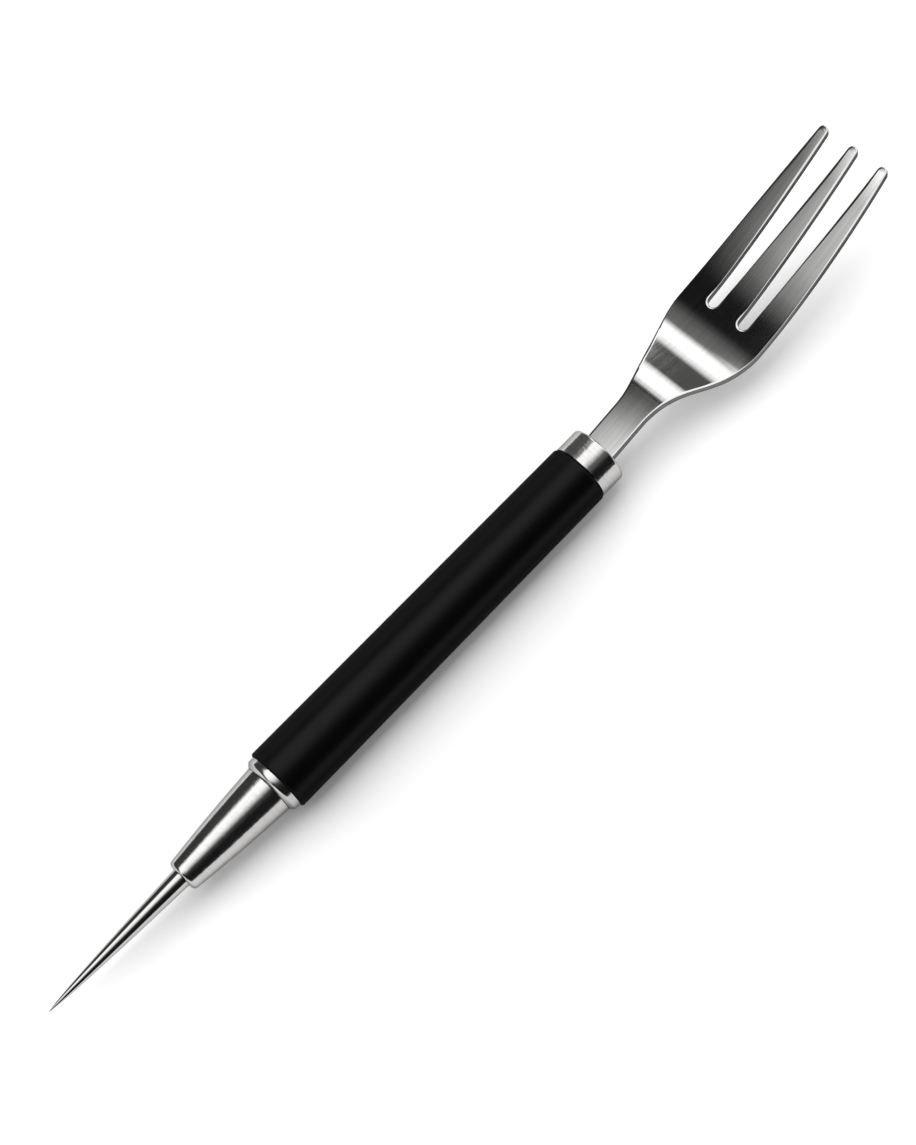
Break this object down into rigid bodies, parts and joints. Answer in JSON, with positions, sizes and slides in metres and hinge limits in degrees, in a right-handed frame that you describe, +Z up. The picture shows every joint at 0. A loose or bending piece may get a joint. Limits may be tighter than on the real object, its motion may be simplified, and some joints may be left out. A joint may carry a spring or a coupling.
{
  "type": "fork and needle pick",
  "caption": "Double-ended hand tool: a brushed steel fork and a ground needle pick on a round black grip, with a turned steel collar and a screw-off nose cone.",
  "frame": {"origin": "middle of the overall box, on the surface that the grip lies on", "axes": "+X along the handle from the needle to the fork, +Z up out of the fork's hollow side, +Y across the tines"},
  "size_m": [0.1953, 0.0184, 0.0188],
  "materials": {
    "fork_steel": "brushed lengthwise",
    "turned_steel": "turned and satin polished",
    "needle_steel": "ground and polished",
    "plain_steel": "plain drawn",
    "screw_steel": "dark oiled",
    "insert_brass": "turned",
    "seal_rubber": "matt",
    "black_grip": "fine matt"
  },
  "bodies": {
    "handle": {"grip_sleeve": "black_grip", "core_tube": "plain_steel", "nose_insert": "insert_brass", "fork_collar": "turned_steel", "tang_pin": "plain_steel", "fork": "fork_steel"},
    "seal": {"nose_seal": "seal_rubber"},
    "nose": {"nose_cone": "turned_steel", "needle": "needle_steel", "needle_lock_screw": "screw_steel"}
  },
  "joints": [
    {"name": "nose_travel", "type": "slide", "parent": "handle", "child": "seal", "axis": [-1, 0, 0], "range_m": [0, 0.01]},
    {"name": "nose_turn", "type": "hinge", "parent": "seal", "child": "nose", "pos_m": [-0.0453, 0, 0.00564], "axis": [-1, 0, 0], "range_deg": [0, 3600]}
  ],
  "couplings": [
    {"joint": "nose_travel", "follows": "nose_turn", "m_per_rad": 0.00015915}
  ]
}
